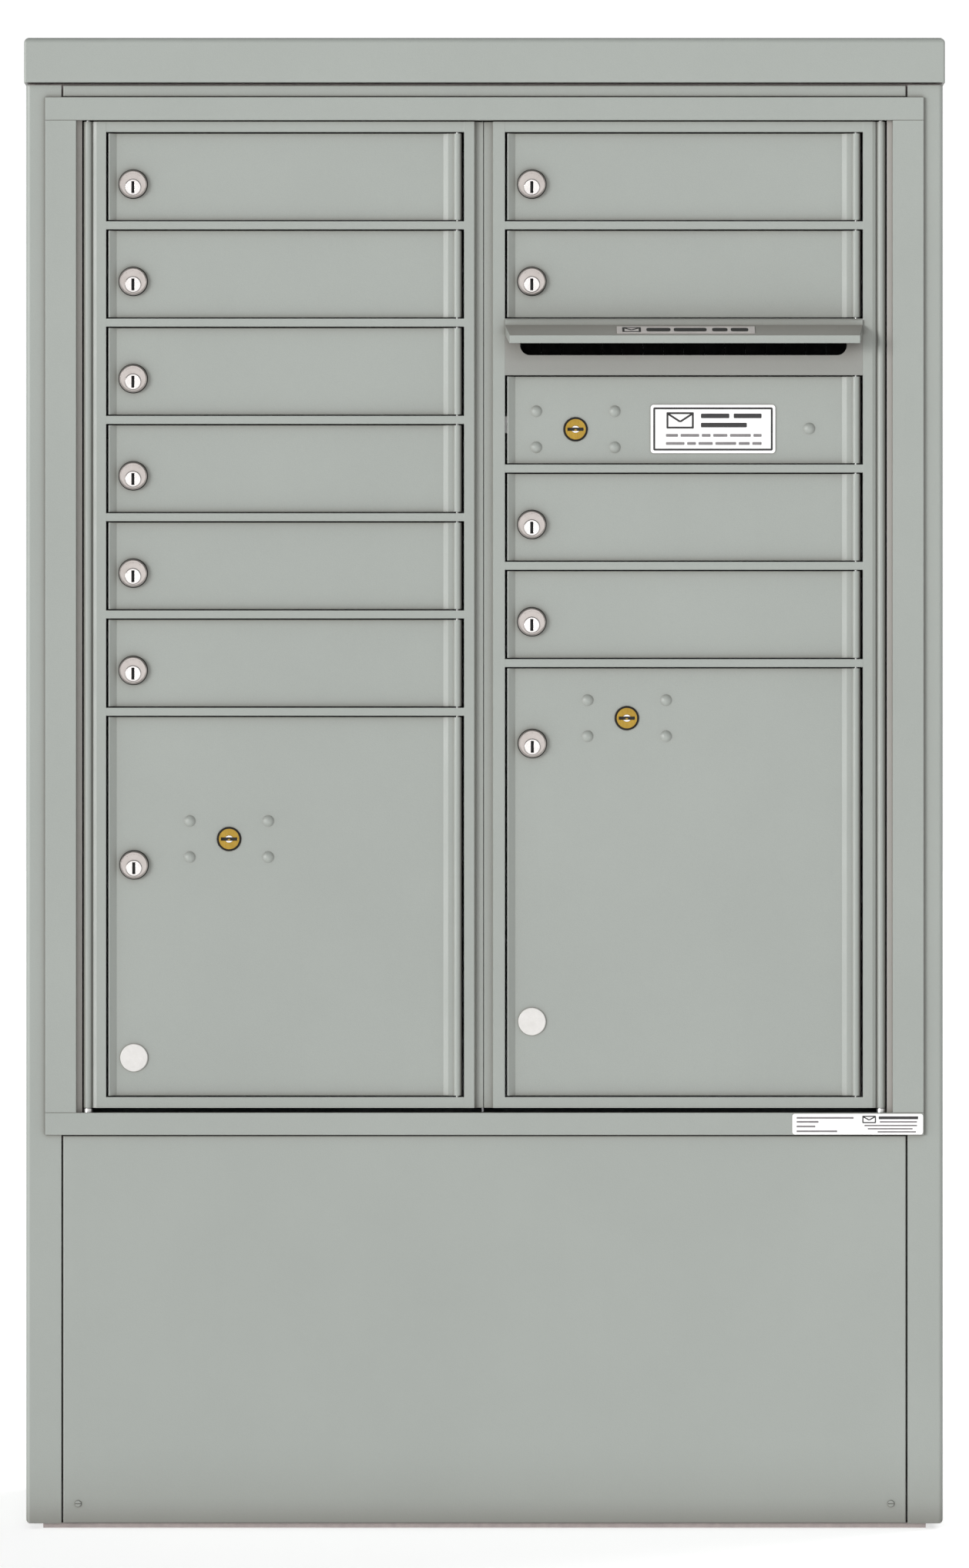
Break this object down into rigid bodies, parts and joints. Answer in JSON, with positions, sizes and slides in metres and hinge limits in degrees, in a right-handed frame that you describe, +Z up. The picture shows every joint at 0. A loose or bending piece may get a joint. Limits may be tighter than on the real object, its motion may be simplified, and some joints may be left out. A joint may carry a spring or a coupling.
{
  "type": "cluster mailbox cabinet",
  "caption": "Floor-standing mailbox cabinet with hinged, lockable compartment doors, parcel lockers and a hooded outgoing-mail slot, set in hinged master doors inside a trim frame.",
  "frame": {"origin": "middle of the whole unit's footprint (hood lip to cap rear), on the floor plane under the base frame", "axes": "+X to the right as seen from the front, +Y from front to rear, +Z up; the doors face -Y"},
  "size_m": [0.8418, 0.5308, 1.3626],
  "materials": {
    "grey_paint_aluminium": "satin grey powder coat on aluminium",
    "grey_paint_steel": "satin grey powder coat",
    "galvanised": "bare galvanised sheet",
    "dark_primer": "matt primer",
    "zinc_plate": "zinc plated",
    "satin_nickel": "satin nickel",
    "bright_nickel": "bright nickel",
    "brass": "polished",
    "label_film": "matt film"
  },
  "bodies": {
    "cabinet": {"base_frame": "dark_primer", "cap": "grey_paint_steel", "centre_partition": "galvanised", "compartment_shelves": "galvanised", "hinge_jambs": "grey_paint_aluminium", "housing_back": "galvanised", "housing_walls": "galvanised", "left_side_panel": "grey_paint_steel", "lower_front_panel": "grey_paint_steel", "master_pivots": "zinc_plate", "module_bearers": "dark_primer", "panel_screws": "zinc_plate", "rating_label": "label_film", "rear_panel": "grey_paint_steel", "right_side_panel": "grey_paint_steel", "top_filler": "grey_paint_steel", "top_frame": "dark_primer", "trim_frame": "grey_paint_aluminium"},
    "left_leaf": {"left_master_frame": "grey_paint_aluminium", "left_door_rod": "zinc_plate"},
    "left_latch": {"left_master_latch": "zinc_plate"},
    "right_leaf": {"right_master_frame": "grey_paint_aluminium", "right_door_rod": "zinc_plate", "mail_slot_panel": "grey_paint_aluminium", "slot_hood": "grey_paint_aluminium", "master_lock_panel": "grey_paint_aluminium", "master_lock_case": "zinc_plate", "label_plates": "label_film"},
    "master_plug": {"master_arrow_plug": "brass"},
    "master_bolt": {"master_arrow_bolt": "zinc_plate"},
    "door_1": {"tenant_door_1": "grey_paint_aluminium"},
    "lock_1": {"tenant_lock_1": "bright_nickel"},
    "door_2": {"tenant_door_2": "grey_paint_aluminium"},
    "lock_2": {"tenant_lock_2": "bright_nickel"},
    "door_3": {"tenant_door_3": "grey_paint_aluminium"},
    "lock_3": {"tenant_lock_3": "bright_nickel"},
    "door_4": {"tenant_door_4": "grey_paint_aluminium"},
    "lock_4": {"tenant_lock_4": "bright_nickel"},
    "door_5": {"tenant_door_5": "grey_paint_aluminium"},
    "lock_5": {"tenant_lock_5": "bright_nickel"},
    "door_6": {"tenant_door_6": "grey_paint_aluminium"},
    "lock_6": {"tenant_lock_6": "bright_nickel"},
    "door_7": {"tenant_door_7": "grey_paint_aluminium"},
    "lock_7": {"tenant_lock_7": "bright_nickel"},
    "door_8": {"tenant_door_8": "grey_paint_aluminium"},
    "lock_8": {"tenant_lock_8": "bright_nickel"},
    "door_9": {"tenant_door_9": "grey_paint_aluminium"},
    "lock_9": {"tenant_lock_9": "bright_nickel"},
    "door_10": {"tenant_door_10": "grey_paint_aluminium"},
    "lock_10": {"tenant_lock_10": "bright_nickel"},
    "left_parcel_door": {"left_parcel_door": "grey_paint_aluminium", "left_parcel_fittings": "satin_nickel"},
    "left_parcel_lock": {"left_parcel_lock": "bright_nickel"},
    "left_parcel_plug": {"left_parcel_arrow_plug": "brass"},
    "left_parcel_bolt": {"left_parcel_arrow_bolt": "zinc_plate"},
    "right_parcel_door": {"right_parcel_door": "grey_paint_aluminium", "right_parcel_fittings": "satin_nickel"},
    "right_parcel_lock": {"right_parcel_lock": "bright_nickel"},
    "right_parcel_plug": {"right_parcel_arrow_plug": "brass"},
    "right_parcel_bolt": {"right_parcel_arrow_bolt": "zinc_plate"}
  },
  "joints": [
    {"name": "left_leaf_hinge", "type": "hinge", "parent": "cabinet", "child": "left_leaf", "pos_m": [-0.3625, -0.23515, 0.835], "axis": [0, 0, -1], "range_deg": [0, 90]},
    {"name": "right_leaf_hinge", "type": "hinge", "parent": "cabinet", "child": "right_leaf", "pos_m": [0.3625, -0.23515, 0.835], "axis": [0, 0, 1], "range_deg": [0, 90]},
    {"name": "left_latch_turn", "type": "hinge", "parent": "left_leaf", "child": "left_latch", "pos_m": [-0.0133, -0.22735, 0.9], "axis": [0, 1, 0], "range_deg": [0, 90]},
    {"name": "master_key_turn", "type": "hinge", "parent": "right_leaf", "child": "master_plug", "pos_m": [0.0833, -0.23135, 1.0049], "axis": [0, -1, 0], "range_deg": [0, 90]},
    {"name": "master_bolt_slide", "type": "slide", "parent": "right_leaf", "child": "master_bolt", "axis": [-1, 0, 0], "range_m": [0, 0.012]},
    {"name": "door_1_hinge", "type": "hinge", "parent": "left_leaf", "child": "door_1", "pos_m": [-0.02485, -0.23515, 1.2356], "axis": [0, 0, 1], "range_deg": [0, 90]},
    {"name": "lock_1_turn", "type": "hinge", "parent": "door_1", "child": "lock_1", "pos_m": [-0.3213, -0.23135, 1.226], "axis": [0, -1, 0], "range_deg": [0, 90]},
    {"name": "door_2_hinge", "type": "hinge", "parent": "left_leaf", "child": "door_2", "pos_m": [-0.02485, -0.23515, 1.1467], "axis": [0, 0, 1], "range_deg": [0, 90]},
    {"name": "lock_2_turn", "type": "hinge", "parent": "door_2", "child": "lock_2", "pos_m": [-0.3213, -0.23135, 1.1371], "axis": [0, -1, 0], "range_deg": [0, 90]},
    {"name": "door_3_hinge", "type": "hinge", "parent": "left_leaf", "child": "door_3", "pos_m": [-0.02485, -0.23515, 1.0578], "axis": [0, 0, 1], "range_deg": [0, 90]},
    {"name": "lock_3_turn", "type": "hinge", "parent": "door_3", "child": "lock_3", "pos_m": [-0.3213, -0.23135, 1.0482], "axis": [0, -1, 0], "range_deg": [0, 90]},
    {"name": "door_4_hinge", "type": "hinge", "parent": "left_leaf", "child": "door_4", "pos_m": [-0.02485, -0.23515, 0.9689], "axis": [0, 0, 1], "range_deg": [0, 90]},
    {"name": "lock_4_turn", "type": "hinge", "parent": "door_4", "child": "lock_4", "pos_m": [-0.3213, -0.23135, 0.9593], "axis": [0, -1, 0], "range_deg": [0, 90]},
    {"name": "door_5_hinge", "type": "hinge", "parent": "left_leaf", "child": "door_5", "pos_m": [-0.02485, -0.23515, 0.88], "axis": [0, 0, 1], "range_deg": [0, 90]},
    {"name": "lock_5_turn", "type": "hinge", "parent": "door_5", "child": "lock_5", "pos_m": [-0.3213, -0.23135, 0.8704], "axis": [0, -1, 0], "range_deg": [0, 90]},
    {"name": "door_6_hinge", "type": "hinge", "parent": "left_leaf", "child": "door_6", "pos_m": [-0.02485, -0.23515, 0.7911], "axis": [0, 0, 1], "range_deg": [0, 90]},
    {"name": "lock_6_turn", "type": "hinge", "parent": "door_6", "child": "lock_6", "pos_m": [-0.3213, -0.23135, 0.7815], "axis": [0, -1, 0], "range_deg": [0, 90]},
    {"name": "door_7_hinge", "type": "hinge", "parent": "right_leaf", "child": "door_7", "pos_m": [0.3397, -0.23515, 1.2356], "axis": [0, 0, 1], "range_deg": [0, 90]},
    {"name": "lock_7_turn", "type": "hinge", "parent": "door_7", "child": "lock_7", "pos_m": [0.04325, -0.23135, 1.226], "axis": [0, -1, 0], "range_deg": [0, 90]},
    {"name": "door_8_hinge", "type": "hinge", "parent": "right_leaf", "child": "door_8", "pos_m": [0.3397, -0.23515, 1.1467], "axis": [0, 0, 1], "range_deg": [0, 90]},
    {"name": "lock_8_turn", "type": "hinge", "parent": "door_8", "child": "lock_8", "pos_m": [0.04325, -0.23135, 1.1371], "axis": [0, -1, 0], "range_deg": [0, 90]},
    {"name": "door_9_hinge", "type": "hinge", "parent": "right_leaf", "child": "door_9", "pos_m": [0.3397, -0.23515, 0.92445], "axis": [0, 0, 1], "range_deg": [0, 90]},
    {"name": "lock_9_turn", "type": "hinge", "parent": "door_9", "child": "lock_9", "pos_m": [0.04325, -0.23135, 0.91485], "axis": [0, -1, 0], "range_deg": [0, 90]},
    {"name": "door_10_hinge", "type": "hinge", "parent": "right_leaf", "child": "door_10", "pos_m": [0.3397, -0.23515, 0.83555], "axis": [0, 0, 1], "range_deg": [0, 90]},
    {"name": "lock_10_turn", "type": "hinge", "parent": "door_10", "child": "lock_10", "pos_m": [0.04325, -0.23135, 0.82595], "axis": [0, -1, 0], "range_deg": [0, 90]},
    {"name": "left_parcel_hinge", "type": "hinge", "parent": "left_leaf", "child": "left_parcel_door", "pos_m": [-0.02485, -0.23515, 0.56875], "axis": [0, 0, 1], "range_deg": [0, 90]},
    {"name": "left_parcel_lock_turn", "type": "hinge", "parent": "left_parcel_door", "child": "left_parcel_lock", "pos_m": [-0.3205, -0.23135, 0.6037], "axis": [0, 1, 0], "range_deg": [0, 90]},
    {"name": "left_parcel_key_turn", "type": "hinge", "parent": "left_parcel_door", "child": "left_parcel_plug", "pos_m": [-0.2336, -0.23135, 0.6303], "axis": [0, -1, 0], "range_deg": [0, 90]},
    {"name": "left_parcel_bolt_slide", "type": "slide", "parent": "left_parcel_door", "child": "left_parcel_bolt", "axis": [-1, 0, 0], "range_m": [0, 0.012]},
    {"name": "right_parcel_hinge", "type": "hinge", "parent": "right_leaf", "child": "right_parcel_door", "pos_m": [0.3397, -0.23515, 0.59098], "axis": [0, 0, 1], "range_deg": [0, 90]},
    {"name": "right_parcel_lock_turn", "type": "hinge", "parent": "right_parcel_door", "child": "right_parcel_lock", "pos_m": [0.0437, -0.23135, 0.7146], "axis": [0, 1, 0], "range_deg": [0, 90]},
    {"name": "right_parcel_key_turn", "type": "hinge", "parent": "right_parcel_door", "child": "right_parcel_plug", "pos_m": [0.1302, -0.23135, 0.7408], "axis": [0, -1, 0], "range_deg": [0, 90]},
    {"name": "right_parcel_bolt_slide", "type": "slide", "parent": "right_parcel_door", "child": "right_parcel_bolt", "axis": [-1, 0, 0], "range_m": [0, 0.012]}
  ],
  "couplings": [
    {"joint": "master_key_turn", "follows": "master_bolt_slide", "rad_per_m": 130.9},
    {"joint": "left_parcel_key_turn", "follows": "left_parcel_bolt_slide", "rad_per_m": 130.9},
    {"joint": "right_parcel_key_turn", "follows": "right_parcel_bolt_slide", "rad_per_m": 130.9}
  ]
}
